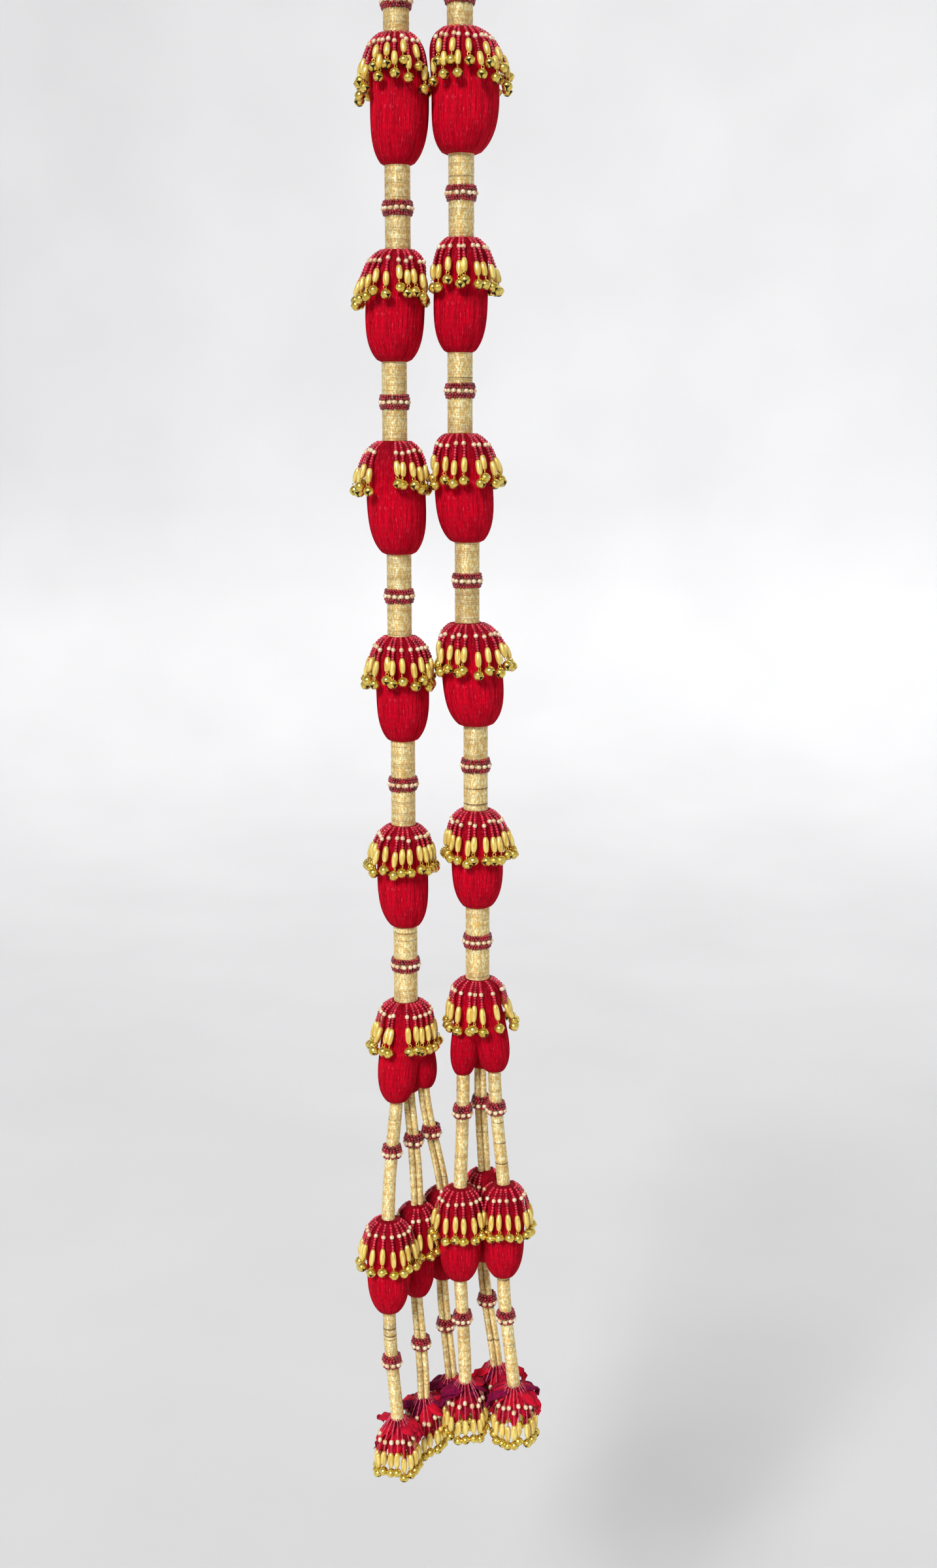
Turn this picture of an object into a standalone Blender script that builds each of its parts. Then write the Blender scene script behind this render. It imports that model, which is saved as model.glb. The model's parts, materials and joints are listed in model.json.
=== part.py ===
"""A hanging pair of long ornamental strands: thread-bound bulbs and gold-wound stems under beaded skirts.

Both strands hang from one loop and knob. Each ends in a three-lobed bulb, and from every lobe hangs a
thinner drop: a thin stem, a small bulb, another thin stem and a petalled flower with a bead fringe.

Lengths are written in millimetres and turned into metres where the meshes are made. +Z is up, the front
faces -Y, and the origin is where the hook bears on the inside of the hanging loop. Every solid is a stack
of level rings, so a piece that leans is sheared a little and its ends stay level.
"""

from math import cos, pi, sin, tan, radians

import bmesh
import bpy
from mathutils import Vector

MM = 0.001

# Clearances
GAP = 0.35  # between pieces that touch on the real object
NECK_TILT = radians(11)  # how far a piece may tip against the level face that it hangs from
DROP_TILT = radians(21)

# The loop and the knob that both strands hang from
LOOP_CORD_RADIUS = 1.5
LOOP_HALF_WIDTH = 7.0
LOOP_LEG_X = 3.2
LOOP_CLEARANCE = 1.0  # lets the knob tip under the ends of the loop's legs
KNOB_TOP = -22.0
KNOB_BOTTOM = -38.0
KNOB_RADIUS = 8.5
KNOB_FOOT_RADIUS = 7.4

# Stems: cords wound with gold thread, each with a ring of beads round it
STEM_RADIUS = 6.5
STEM_RING_RADIUS = 8.3
STEM_RING_HEIGHT = 8.0
STEM_TOP_RADIUS = 2.9  # the first stem is slimmer where the knob grips it
STEM_TOP_X = 3.7
FIRST_RING_ABOVE_NECK = 14.5
SPREAD_HEIGHT = 34.0  # height over which the two first stems draw together under the knob

# Bulbs: share of the length from the top, and share of the largest radius
BULB_OUTLINE = (
    (0.05, 0.72),
    (0.11, 0.88),
    (0.20, 0.97),
    (0.35, 1.00),
    (0.52, 1.00),
    (0.69, 0.97),
    (0.83, 0.88),
    (0.92, 0.72),
    (1.00, 0.52),
)

# Skirts: strings of beads that lie over a bulb's shoulder and end in bells
SKIRT_LENGTH = 29.5
SKIRT_LEVELS = (0.06, 0.11, 0.20, 0.35)  # shares of the bulb's length, as far down as its shoulder
SKIRT_RADII = (12.2, 14.2, 16.2, 18.0)
SKIRT_RADIUS = 21.0  # at the bells
SKIRT_LEAST_WALL = 0.45
SKIRT_FLUTE = 0.4  # how far every second rib stands in
BETWEEN_STRANDS = 0.35  # half of the gap that two neighbouring skirts keep

# Drops: the thin branches, with the same pieces at a smaller size
THIN_RADIUS = 3.6
THIN_RING_RADIUS = 5.4
THIN_RING_HEIGHT = 8.0
DROP_STEM = 64.0
DROP_BULB = 54.0
DROP_TAIL = 63.0
FLOWER_LENGTH = 40.0
FLOWER_RADIUS = 11.7
LOBE_START = 9.0  # depth below the neck at which the lobes part

BULB_SIDES = 14
STEM_SIDES = 10
THIN_SIDES = 8

# The two strands. Hand-wound pieces differ by a few millimetres, so each has its own lengths.
# stem_x holds the middle of stems 0 to 5, and bulb_x the middle of bulbs 1 to 6 at their widest.
# divide is the plane, at each bulb, that keeps a skirt off its neighbour's.
STRANDS = {
    "left": {
        "first_neck": -107.0,
        "pitch": (102, 94, 100, 101, 98),
        "bulb_length": (62, 55, 58, 56, 56.5, 56),
        "bulb_radius": (14.5, 14.5, 15.2, 13.7, 13.8, 13.5),
        "bulb_x": (-14.3, -17.6, -17.4, -14.9, -15.4, -14.3),
        "stem_x": (-15.7, -15.6, -17.9, -16.2, -14.9, -14.3),
        "divide": (1.4, 1.0, 1.0, 2.9, 5.0, 6.0),
        "inward": 1,
        "ring_share": 0.51,
        "drop_ring_share": (0.43, 0.47),
    },
    "right": {
        "first_neck": -104.6,
        "pitch": (98.4, 96.3, 97, 99.4, 93.7),
        "bulb_length": (59, 56.5, 55.5, 54.5, 54, 53),
        "bulb_radius": (16.2, 13.5, 14.4, 15.1, 13.7, 13.5),
        "bulb_x": (18.8, 15.8, 17.6, 22.2, 24.7, 24.7),
        "stem_x": (15.6, 16.2, 15.5, 19.1, 23.6, 24.7),
        "divide": (1.4, 1.0, 1.0, 2.9, 5.0, 6.0),
        "inward": -1,
        "ring_share": 0.47,
        "drop_ring_share": (0.33, 0.38),
    },
}

# The drops, from left to right. lobe is the place of the lobe's end, bulb and flower the middles of
# those pieces, all across and deep; lobe_length is from the strand's last neck down, and lobe_radius is
# how full the lobe is.
DROPS = {
    "left_drop_1": {
        "lobe": (-19.6, -5.0),
        "lobe_length": 56,
        "lobe_radius": 11.2,
        "bulb": (-24.0, -21.0),
        "flower": (-19.8, -24.0),
    },
    "left_drop_2": {
        "lobe": (-12.8, 4.0),
        "lobe_length": 54,
        "lobe_radius": 8.8,
        "bulb": (-9.0, -4.4),
        "flower": (-6.0, -4.0),
    },
    "left_drop_3": {
        "lobe": (-4.6, 3.0),
        "lobe_length": 51,
        "lobe_radius": 8.6,
        "bulb": (5.2, 13.2),
        "flower": (9.6, 15.6),
    },
    "right_drop_1": {
        "lobe": (16.8, -4.0),
        "lobe_length": 53.5,
        "lobe_radius": 8.2,
        "bulb": (15.2, -10.2),
        "flower": (17.9, -9.6),
    },
    "right_drop_2": {
        "lobe": (26.8, 5.0),
        "lobe_length": 53,
        "lobe_radius": 8.4,
        "bulb": (28.4, 12.0),
        "flower": (35.6, 8.4),
    },
    "right_drop_3": {
        "lobe": (34.0, -3.0),
        "lobe_length": 52,
        "lobe_radius": 9.8,
        "bulb": (39.2, -8.0),
        "flower": (45.2, -14.8),
    },
}
FRONT_BULB_RADIUS = 11.7
BACK_BULB_RADIUS = 10.4
FRONT_DROPS = ("left_drop_1", "right_drop_1", "right_drop_3")


def clear_scene():
    for thing in list(bpy.data.objects):
        bpy.data.objects.remove(thing, do_unlink=True)


# ---------------------------------------------------------------- materials


def finish(name, colour, roughness, metallic=0.0):
    """One plain surface finish, made once and shared by the pieces that have it."""
    made = bpy.data.materials.get(name)
    if made:
        return made
    made = bpy.data.materials.new(name)
    made.use_nodes = True
    shader = made.node_tree.nodes["Principled BSDF"]
    shader.inputs["Base Color"].default_value = (*colour, 1.0)
    shader.inputs["Roughness"].default_value = roughness
    shader.inputs["Metallic"].default_value = metallic
    return made


def red_silk():
    return finish("red_silk", (0.56, 0.004, 0.018), 0.6)


def gold_zari():
    return finish("gold_zari", (0.70, 0.52, 0.24), 0.4, 0.6)


def brass_bells():
    return finish("brass_bells", (0.83, 0.58, 0.16), 0.3, 1.0)


def red_petals():
    return finish("red_petals", (0.50, 0.004, 0.02), 0.75)


def loop_cord():
    return finish("loop_cord", (0.42, 0.004, 0.016), 0.7)


# ---------------------------------------------------------------- level rings


def circle(x, y, z, radius, sides):
    """A level ring of points."""
    turn = 2 * pi / sides
    return [Vector((x + radius * cos(turn * i), y + radius * sin(turn * i), z)) for i in range(sides)]


def ribbed(x, y, z, radius, sides, flute):
    """A level ring whose every second point stands in, as a row of ribs does."""
    ring = circle(0, 0, 0, 1, sides)
    return [
        Vector((x, y, z)) + point * (radius - flute * (i % 2)) for i, point in enumerate(ring)
    ]


def add_walls(mesh, loops):
    """Quads from each loop of vertices to the next."""
    for above, below in zip(loops, loops[1:]):
        for i in range(len(above)):
            after = (i + 1) % len(above)
            mesh.faces.new((above[i], above[after], below[after], below[i]))


def stack(name, rings, material, hollow=False):
    """A solid from level rings, top to bottom. hollow joins the last ring to the first, as in a collar."""
    mesh = bmesh.new()
    loops = [[mesh.verts.new(point * MM) for point in ring] for ring in rings]
    if hollow:
        loops.append(loops[0])
    add_walls(mesh, loops)
    if not hollow:
        mesh.faces.new(loops[0])
        mesh.faces.new(list(reversed(loops[-1])))
    bmesh.ops.recalc_face_normals(mesh, faces=mesh.faces)
    data = bpy.data.meshes.new(name)
    mesh.to_mesh(data)
    mesh.free()
    data.shade_smooth()
    data.set_sharp_from_angle(angle=radians(40))
    data.materials.append(material)
    piece = bpy.data.objects.new(name, data)
    bpy.context.collection.objects.link(piece)
    return piece


def set_origin(piece, pivot):
    """Puts a moving piece's origin on its joint, given in millimetres, and leaves the piece in place."""
    place = Vector(pivot) * MM
    for vertex in piece.data.vertices:
        vertex.co -= place
    piece.location = place


def between(start, end, share):
    return Vector(start).lerp(Vector(end), share)


def eased(share):
    """A share that starts and ends level."""
    return share * share * (3 - 2 * share)


# ---------------------------------------------------------------- where the pieces hang


def necks(side):
    """The joints at the tops of bulbs 1 to 6."""
    strand = STRANDS[side]
    z, points = strand["first_neck"], []
    for number in range(6):
        points.append(Vector((strand["stem_x"][number], 0, z)))
        if number < 5:
            z -= strand["pitch"][number]
    return points


def waists(side):
    """The joints at the bottoms of bulbs 1 to 5."""
    strand = STRANDS[side]
    tops = necks(side)
    return [
        Vector((strand["stem_x"][k + 1], 0, tops[k].z - strand["bulb_length"][k])) for k in range(5)
    ]


def drop_joints(drop):
    """The four joints of a drop: lobe end, bulb top, bulb bottom and flower top."""
    side = drop.split("_")[0]
    place = DROPS[drop]
    lobe_z = necks(side)[5].z - place["lobe_length"]
    bulb_z = lobe_z - DROP_STEM - (52.5 - place["lobe_length"]) * 0.5
    waist_z = bulb_z - DROP_BULB
    return [
        Vector((*place["lobe"], lobe_z)),
        Vector((*place["bulb"], bulb_z)),
        Vector((*place["bulb"], waist_z)),
        Vector((*place["flower"], waist_z - DROP_TAIL)),
    ]


# ---------------------------------------------------------------- loop and knob


def make_loop():
    """The cord loop, tied into the knob by its two legs, which stop just above it."""
    top = LOOP_CORD_RADIUS
    foot = KNOB_TOP + LOOP_CLEARANCE
    middle = top - LOOP_HALF_WIDTH
    steps = 8
    arch = [
        Vector((-LOOP_HALF_WIDTH * cos(pi * i / steps), 0, middle + LOOP_HALF_WIDTH * sin(pi * i / steps)))
        for i in range(steps + 1)
    ]
    leg_steps = 3
    leg = []
    for i in range(1, leg_steps + 1):
        share = i / leg_steps
        x = LOOP_HALF_WIDTH + (LOOP_LEG_X - LOOP_HALF_WIDTH) * eased(share)
        leg.append(Vector((x, 0, middle + (foot - middle) * share)))
    route = [Vector((-p.x, 0, p.z)) for p in reversed(leg)] + arch + leg
    curve = bpy.data.curves.new("hanging_loop", "CURVE")
    curve.dimensions = "3D"
    curve.bevel_depth = LOOP_CORD_RADIUS * MM
    curve.bevel_resolution = 2
    curve.use_fill_caps = True
    spline = curve.splines.new("POLY")
    spline.points.add(len(route) - 1)
    for point, place in zip(spline.points, route):
        point.co = (*(place * MM), 1.0)
    curve.materials.append(loop_cord())
    piece = bpy.data.objects.new("hanging_loop", curve)
    bpy.context.collection.objects.link(piece)


def make_knob():
    """The wound knob between the loop and the two strands."""
    height = KNOB_TOP - KNOB_BOTTOM
    rings = []
    for share, size in ((0, 0.55), (0.12, 0.82), (0.35, 1.0), (0.65, 1.0), (0.9, 0.9)):
        rings.append(circle(0, 0, KNOB_TOP - height * share, KNOB_RADIUS * size, BULB_SIDES))
    rings.append(circle(0, 0, KNOB_BOTTOM, KNOB_FOOT_RADIUS, BULB_SIDES))
    piece = stack("top_knob", rings, gold_zari())
    set_origin(piece, (0, 0, KNOB_TOP + LOOP_CLEARANCE))


# ---------------------------------------------------------------- stems


def stem_rings(top, bottom, radius, ring_z, ring_radius, ring_height, sides, tilt, top_radius=None):
    """A wound stem with its raised bead ring. Its top is a low cone, clear of the face above when it tips."""
    top_radius = top_radius or radius
    length = top.z - bottom.z

    def level(z, size):
        middle = between(top, bottom, (top.z - z) / length)
        return circle(middle.x, middle.y, z, size, sides)

    half = ring_height / 2
    return [
        level(top.z - GAP, 0.6),
        level(top.z - GAP - top_radius * tan(tilt), top_radius),
        level(ring_z + half, radius),
        level(ring_z + half * 0.55, ring_radius),
        level(ring_z - half * 0.55, ring_radius),
        level(ring_z - half, radius),
        level(bottom.z, radius),
    ]


def make_first_stem(side):
    """Stem 0: it leaves the knob slim and close to its neighbour, then swings out to the strand's line."""
    strand = STRANDS[side]
    neck = necks(side)[0]
    x_top = -strand["inward"] * STEM_TOP_X
    ring_z = neck.z + FIRST_RING_ABOVE_NECK
    rings = [circle(x_top, 0, KNOB_BOTTOM - GAP, 0.6, STEM_SIDES)]
    start = KNOB_BOTTOM - GAP - STEM_TOP_RADIUS * tan(radians(14))
    steps = 5
    for i in range(steps + 1):
        share = i / steps
        x = x_top + (neck.x - x_top) * eased(share)
        radius = STEM_TOP_RADIUS + (STEM_RADIUS - STEM_TOP_RADIUS) * share
        rings.append(circle(x, 0, start - SPREAD_HEIGHT * share, radius, STEM_SIDES))
    half = STEM_RING_HEIGHT / 2
    for z, radius in (
        (ring_z + half, STEM_RADIUS),
        (ring_z + half * 0.55, STEM_RING_RADIUS),
        (ring_z - half * 0.55, STEM_RING_RADIUS),
        (ring_z - half, STEM_RADIUS),
        (neck.z, STEM_RADIUS),
    ):
        rings.append(circle(neck.x, 0, z, radius, STEM_SIDES))
    piece = stack(f"{side}_stem_0", rings, gold_zari())
    set_origin(piece, (x_top, 0, KNOB_BOTTOM))


def make_stem(side, number):
    """Stems 1 to 5, each from one bulb's bottom to the next bulb's top."""
    top, bottom = waists(side)[number - 1], necks(side)[number]
    ring_z = top.z + (bottom.z - top.z) * STRANDS[side]["ring_share"]
    rings = stem_rings(
        top, bottom, STEM_RADIUS, ring_z, STEM_RING_RADIUS, STEM_RING_HEIGHT, STEM_SIDES, NECK_TILT
    )
    piece = stack(f"{side}_stem_{number}", rings, gold_zari())
    set_origin(piece, top)


# ---------------------------------------------------------------- bulbs and skirts


def bulb_middle(top, bottom, widest_x, share):
    """The middle of a bulb at a share of its length: it may belly out to one side of its ends."""
    straight = between(top, bottom, share)
    belly = widest_x - (top.x + bottom.x) / 2
    straight.x += belly * sin(pi * min(share, 1.0))
    return straight


def bulb_radius(share):
    """The outline's radius, as a share of the largest, between its stated points."""
    before = (0.0, 0.30)
    for here in BULB_OUTLINE:
        if share <= here[0]:
            part = (share - before[0]) / (here[0] - before[0])
            return before[1] + (here[1] - before[1]) * part
        before = here
    return BULB_OUTLINE[-1][1]


def make_bulb(side, number):
    """Bulbs 1 to 5: silk threads laid lengthwise over a core and gathered at both ends."""
    strand = STRANDS[side]
    top, bottom = necks(side)[number - 1], waists(side)[number - 1]
    radius = strand["bulb_radius"][number - 1]
    length = top.z - bottom.z
    rings = [circle(top.x, 0, top.z - GAP, 0.6, BULB_SIDES)]
    for share, size in BULB_OUTLINE:
        middle = bulb_middle(top, bottom, strand["bulb_x"][number - 1], share)
        rings.append(circle(middle.x, 0, top.z - length * share, radius * size, BULB_SIDES))
    piece = stack(f"{side}_bulb_{number}", rings, red_silk())
    set_origin(piece, top)


def skirt_wall(side, number, share, radius):
    """One level ring of a skirt, ribbed, and pressed in where the neighbouring strand hangs."""
    strand = STRANDS[side]
    top, bottom = necks(side)[number - 1], waists(side)[number - 1]
    middle = bulb_middle(top, bottom, strand["bulb_x"][number - 1], share)
    z = top.z - (top.z - bottom.z) * share
    least = strand["bulb_radius"][number - 1] * bulb_radius(share) + GAP + SKIRT_LEAST_WALL
    inward = strand["inward"]
    limit = abs(strand["divide"][number - 1] - inward * BETWEEN_STRANDS - middle.x)
    ring = ribbed(0, 0, 0, 1, BULB_SIDES, SKIRT_FLUTE / SKIRT_RADIUS)
    wall = []
    for point in ring:
        reach = radius
        facing = point.x * inward
        if facing > 0:
            reach = min(radius, limit / facing)
        reach = max(reach, least)
        wall.append(Vector((middle.x + point.x * reach, point.y * reach, z)))
    return wall


def make_skirt(side, number):
    """A skirt of bead strings over a bulb's shoulder, as one open-bottomed shell clear of the bulb."""
    strand = STRANDS[side]
    top, bottom = necks(side)[number - 1], waists(side)[number - 1]
    length = top.z - bottom.z
    end = SKIRT_LENGTH / length
    levels = (*SKIRT_LEVELS, end)
    outside = (*SKIRT_RADII, SKIRT_RADIUS)
    rings = [skirt_wall(side, number, share, radius) for share, radius in zip(levels, outside)]
    for share in reversed(levels):
        middle = bulb_middle(top, bottom, strand["bulb_x"][number - 1], share)
        radius = strand["bulb_radius"][number - 1] * bulb_radius(share) + GAP
        rings.append(circle(middle.x, 0, top.z - length * share, radius, BULB_SIDES))
    piece = stack(f"{side}_skirt_{number}", rings, brass_bells(), hollow=True)
    set_origin(piece, top)


def join(piece, others):
    """Unites other solids with a piece and removes them."""
    for other in others:
        union = piece.modifiers.new(f"with_{other.name}", "BOOLEAN")
        union.operation = "UNION"
        union.solver = "EXACT"
        union.object = other
        other.hide_render = True
        other.display_type = "WIRE"


def make_lobe(drop, number):
    """One of the three lobes that a strand's last bulb parts into, down to its drop's first joint."""
    side = drop.split("_")[0]
    start = necks(side)[5] - Vector((0, 0, LOBE_START))
    end = drop_joints(drop)[0]
    rings = []
    outline = ((0.0, 0.45), (0.2, 0.8), (0.45, 1.0), (0.65, 0.98), (0.82, 0.84), (0.93, 0.64), (1.0, 0.46))
    for share, size in outline:
        middle = between(start, end, 1 - (1 - share) ** 1.6)
        z = start.z + (end.z - start.z) * share
        rings.append(circle(middle.x, middle.y, z, DROPS[drop]["lobe_radius"] * size, BULB_SIDES))
    return stack(f"lobe_guide_{side}_{number}", rings, red_silk())


def make_last_bulb(side):
    """Bulb 6: under its skirt it parts into three lobes, one for each drop."""
    top = necks(side)[5]
    rings = [circle(top.x, 0, top.z - GAP, 0.6, BULB_SIDES)]
    for depth, radius in ((2.6, 10.0), (6.5, 13.2), (15.0, 16.2)):
        rings.append(ribbed(top.x, 0, top.z - depth, radius, BULB_SIDES, SKIRT_FLUTE))
    rings.append(ribbed(top.x, 0, top.z - SKIRT_LENGTH, 18.6, BULB_SIDES, SKIRT_FLUTE))
    rings.append(circle(top.x, 0, top.z - SKIRT_LENGTH, 13.5, BULB_SIDES))
    rings.append(circle(top.x, 0, top.z - SKIRT_LENGTH + 3, 12.5, BULB_SIDES))
    piece = stack(f"{side}_bulb_6", rings, red_silk())
    lobes = [make_lobe(f"{side}_drop_{n}", n) for n in (1, 2, 3)]
    join(piece, lobes)
    set_origin(piece, top)


# ---------------------------------------------------------------- drops


def make_thin_stem(name, top, bottom, ring_share):
    ring_z = top.z + (bottom.z - top.z) * ring_share
    rings = stem_rings(
        top, bottom, THIN_RADIUS, ring_z, THIN_RING_RADIUS, THIN_RING_HEIGHT, THIN_SIDES, DROP_TILT
    )
    piece = stack(name, rings, gold_zari())
    set_origin(piece, top)


def make_drop_bulb(drop):
    """A drop's small bulb with its own skirt, which stands only a little proud of it."""
    top, bottom = drop_joints(drop)[1:3]
    radius = FRONT_BULB_RADIUS if drop in FRONT_DROPS else BACK_BULB_RADIUS
    rings = [circle(top.x, top.y, top.z - GAP, 0.6, BULB_SIDES)]
    outline = (
        (0.05, 0.62),
        (0.14, 0.86),
        (0.28, 0.97),
        (0.46, 1.00),
        (0.50, 0.93),
        (0.66, 0.96),
        (0.82, 0.84),
        (0.93, 0.62),
        (1.00, 0.38),
    )
    for share, size in outline:
        z = top.z + (bottom.z - top.z) * share
        rings.append(circle(top.x, top.y, z, radius * size, BULB_SIDES))
    piece = stack(f"{drop}_bulb", rings, red_silk())
    set_origin(piece, top)


def make_flower(drop):
    """The petalled end of a drop, with its bead fringe, as one fluted solid."""
    top = drop_joints(drop)[3]
    rings = [circle(top.x, top.y, top.z - GAP, 0.6, BULB_SIDES)]
    for depth, size, flute in (
        (1.8, 0.34, 0),
        (7.0, 0.72, 0.8),
        (14.0, 0.94, 1.2),
        (22.0, 1.0, 0.6),
        (FLOWER_LENGTH - 6.0, 1.0, 0.6),
        (FLOWER_LENGTH, 0.86, 0.6),
    ):
        rings.append(ribbed(top.x, top.y, top.z - depth, FLOWER_RADIUS * size, BULB_SIDES, flute))
    piece = stack(f"{drop}_flower", rings, red_petals())
    set_origin(piece, top)


def make_drop(drop):
    side = drop.split("_")[0]
    lobe, bulb_top, bulb_bottom, flower = drop_joints(drop)
    upper_share, lower_share = STRANDS[side]["drop_ring_share"]
    make_thin_stem(f"{drop}_stem", lobe, bulb_top, upper_share)
    make_drop_bulb(drop)
    make_thin_stem(f"{drop}_tail", bulb_bottom, flower, lower_share)
    make_flower(drop)


clear_scene()
make_loop()
make_knob()
for side in STRANDS:
    make_first_stem(side)
    for number in range(1, 6):
        make_bulb(side, number)
        make_skirt(side, number)
        make_stem(side, number)
    make_last_bulb(side)
for drop in DROPS:
    make_drop(drop)
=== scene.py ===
"""Looks of a hanging pair of ornamental strands: silk bulbs, gold-wound stems and bead skirts with bells.

Everything is in metres, front -Y and up +Z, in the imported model's frame. Each piece is made at rest, in its
place, and rides on the body that it belongs to.
"""

import json
from math import pi, radians, tau

import bpy
import numpy as np
from mathutils import Matrix, Vector

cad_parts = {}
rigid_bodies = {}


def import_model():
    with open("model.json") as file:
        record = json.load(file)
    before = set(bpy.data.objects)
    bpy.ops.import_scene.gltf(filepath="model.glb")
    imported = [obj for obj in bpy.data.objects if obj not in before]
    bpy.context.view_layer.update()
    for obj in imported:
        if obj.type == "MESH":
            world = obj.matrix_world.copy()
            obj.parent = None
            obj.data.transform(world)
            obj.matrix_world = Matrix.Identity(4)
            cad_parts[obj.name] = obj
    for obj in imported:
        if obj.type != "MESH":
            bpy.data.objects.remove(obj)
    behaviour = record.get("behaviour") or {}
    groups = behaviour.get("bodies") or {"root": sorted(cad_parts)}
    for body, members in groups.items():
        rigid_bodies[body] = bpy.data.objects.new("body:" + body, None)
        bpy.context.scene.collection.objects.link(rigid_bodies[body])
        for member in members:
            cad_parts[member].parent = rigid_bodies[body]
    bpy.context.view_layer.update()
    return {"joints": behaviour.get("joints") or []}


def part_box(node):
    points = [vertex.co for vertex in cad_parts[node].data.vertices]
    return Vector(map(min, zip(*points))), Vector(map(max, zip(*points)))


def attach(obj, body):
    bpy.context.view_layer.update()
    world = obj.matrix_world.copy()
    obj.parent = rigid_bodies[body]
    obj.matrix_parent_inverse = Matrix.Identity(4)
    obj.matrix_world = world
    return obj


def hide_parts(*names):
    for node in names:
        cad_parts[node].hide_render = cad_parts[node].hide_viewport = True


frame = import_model()


# ---------------------------------------------------------------- the hanging loop
# Three plies of red cotton laid into one cord and bent into an eye. Both its ends are sewn into the top of
# the knob, and it carries the two strands.

MM = 0.001


def srgb(red, green, blue):
    """A colour given as on a paint card, 0 to 255, as the shader wants it."""
    return (*(((part / 255 + 0.055) / 1.055) ** 2.4 for part in (red, green, blue)), 1.0)


class Link:
    """One output of a material's nodes. Sums on it add Math nodes."""

    def __init__(self, look, socket):
        self.look, self.socket = look, socket

    def maths(self, operation, *values):
        return self.look.node("ShaderNodeMath", {"operation": operation}, values)

    def __add__(self, other):
        return self.maths("ADD", self, other)

    def __radd__(self, other):
        return self.maths("ADD", other, self)

    def __sub__(self, other):
        return self.maths("SUBTRACT", self, other)

    def __rsub__(self, other):
        return self.maths("SUBTRACT", other, self)

    def __mul__(self, other):
        return self.maths("MULTIPLY", self, other)

    def __rmul__(self, other):
        return self.maths("MULTIPLY", other, self)


class Look:
    """One surface finish: a Principled shader with its even values, and the nodes that vary it."""

    def __init__(self, name, even):
        self.material = bpy.data.materials.new(name)
        self.material.use_nodes = True
        self.tree = self.material.node_tree
        self.shader = self.tree.nodes["Principled BSDF"]
        for socket, value in even.items():
            self.shader.inputs[socket].default_value = value

    def node(self, kind, settings, values, output=0):
        """Adds a node: its settings first, then its sockets' values or links, by place or by name."""
        made = self.tree.nodes.new(kind)
        for setting, value in settings.items():
            setattr(made, setting, value)
        for place, value in values.items() if isinstance(values, dict) else enumerate(values):
            if isinstance(value, Link):
                self.tree.links.new(value.socket, made.inputs[place])
            else:
                made.inputs[place].default_value = value
        return Link(self, made.outputs[output])

    def coords(self, source, stretch):
        """Object coordinates or the piece's own UV map, stretched."""
        plain = self.node("ShaderNodeTexCoord", {}, {}, output=source)
        return self.node("ShaderNodeMapping", {}, {"Vector": plain, "Scale": stretch})

    def noise(self, source, stretch, detail=2.0, low=0.0, high=1.0):
        """Cloudy variation, spread so that low becomes 0 and high becomes 1."""
        cloud = self.node(
            "ShaderNodeTexNoise", {}, {"Vector": self.coords(source, stretch), "Scale": 1.0, "Detail": detail}
        )
        return self.node("ShaderNodeMapRange", {}, {0: cloud, 1: low, 2: high, 3: 0.0, 4: 1.0})

    def mix(self, share, first, second):
        """A colour between two others."""
        return self.node("ShaderNodeMix", {"data_type": "RGBA"}, {0: share, 6: first, 7: second}, output=2)

    def bump(self, height, depth, strength=1.0):
        return self.node("ShaderNodeBump", {}, {"Height": height, "Distance": depth, "Strength": strength})

    def feed(self, sockets):
        for name, link in sockets.items():
            self.tree.links.new(link.socket, self.shader.inputs[name])


def joint_at(name):
    """Where a joint of the model is."""
    return next(Vector(joint["pos_m"]) for joint in frame["joints"] if joint["name"] == name)


def points_of(piece):
    """A piece's vertices, one row each."""
    flat = np.empty(len(piece.data.vertices) * 3)
    piece.data.vertices.foreach_get("co", flat)
    return flat.reshape(-1, 3)


def move_points(piece, points):
    piece.data.vertices.foreach_set("co", np.asarray(points, float).ravel())
    piece.data.update()


def join(name, parts):
    """Makes one piece of several."""
    bpy.ops.object.select_all(action="DESELECT")
    for part in parts:
        part.select_set(True)
    bpy.context.view_layer.objects.active = parts[0]
    if len(parts) > 1:
        bpy.ops.object.join()
    parts[0].name = name
    parts[0].data.name = name
    return parts[0]


def coil(name, strand, lay, sides, turns, height, steps, starts=1):
    """Strands of a given radius, coiled down the Z axis from the origin at the radius lay, ends closed."""
    profiles = []
    for start in range(starts):
        angle = tau * start / starts
        place = (lay * np.cos(angle), lay * np.sin(angle), 0)
        bpy.ops.mesh.primitive_circle_add(
            vertices=sides, radius=strand, location=place, rotation=(pi / 2, 0, angle)
        )
        bpy.ops.object.transform_apply(location=True, rotation=True, scale=False)
        profiles.append(bpy.context.object)
    piece = join(name, profiles)
    screw = piece.modifiers.new("turns", "SCREW")
    screw.angle = tau * turns
    screw.screw_offset = -height
    screw.steps = screw.render_steps = round(steps * turns)
    bpy.ops.object.modifier_apply(modifier="turns")
    bpy.ops.object.mode_set(mode="EDIT")
    bpy.ops.mesh.select_all(action="SELECT")
    bpy.ops.mesh.fill_holes(sides=0)
    bpy.ops.mesh.select_all(action="SELECT")
    bpy.ops.mesh.normals_make_consistent(inside=False)
    bpy.ops.object.mode_set(mode="OBJECT")
    return piece


def along(route, distance):
    """Places on a route of points at distances from its start, and the directions there."""
    walked = np.concatenate([[0], np.cumsum(np.linalg.norm(np.diff(route, axis=0), axis=1))])
    reach = 0.3 * MM
    distance = np.clip(distance, reach, walked[-1] - reach)
    here, before, after = (
        np.stack([np.interp(distance + shift, walked, route[:, axis]) for axis in range(3)], axis=-1)
        for shift in (0, -reach, reach)
    )
    way = after - before
    return here, way / np.linalg.norm(way, axis=-1, keepdims=True)


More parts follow.
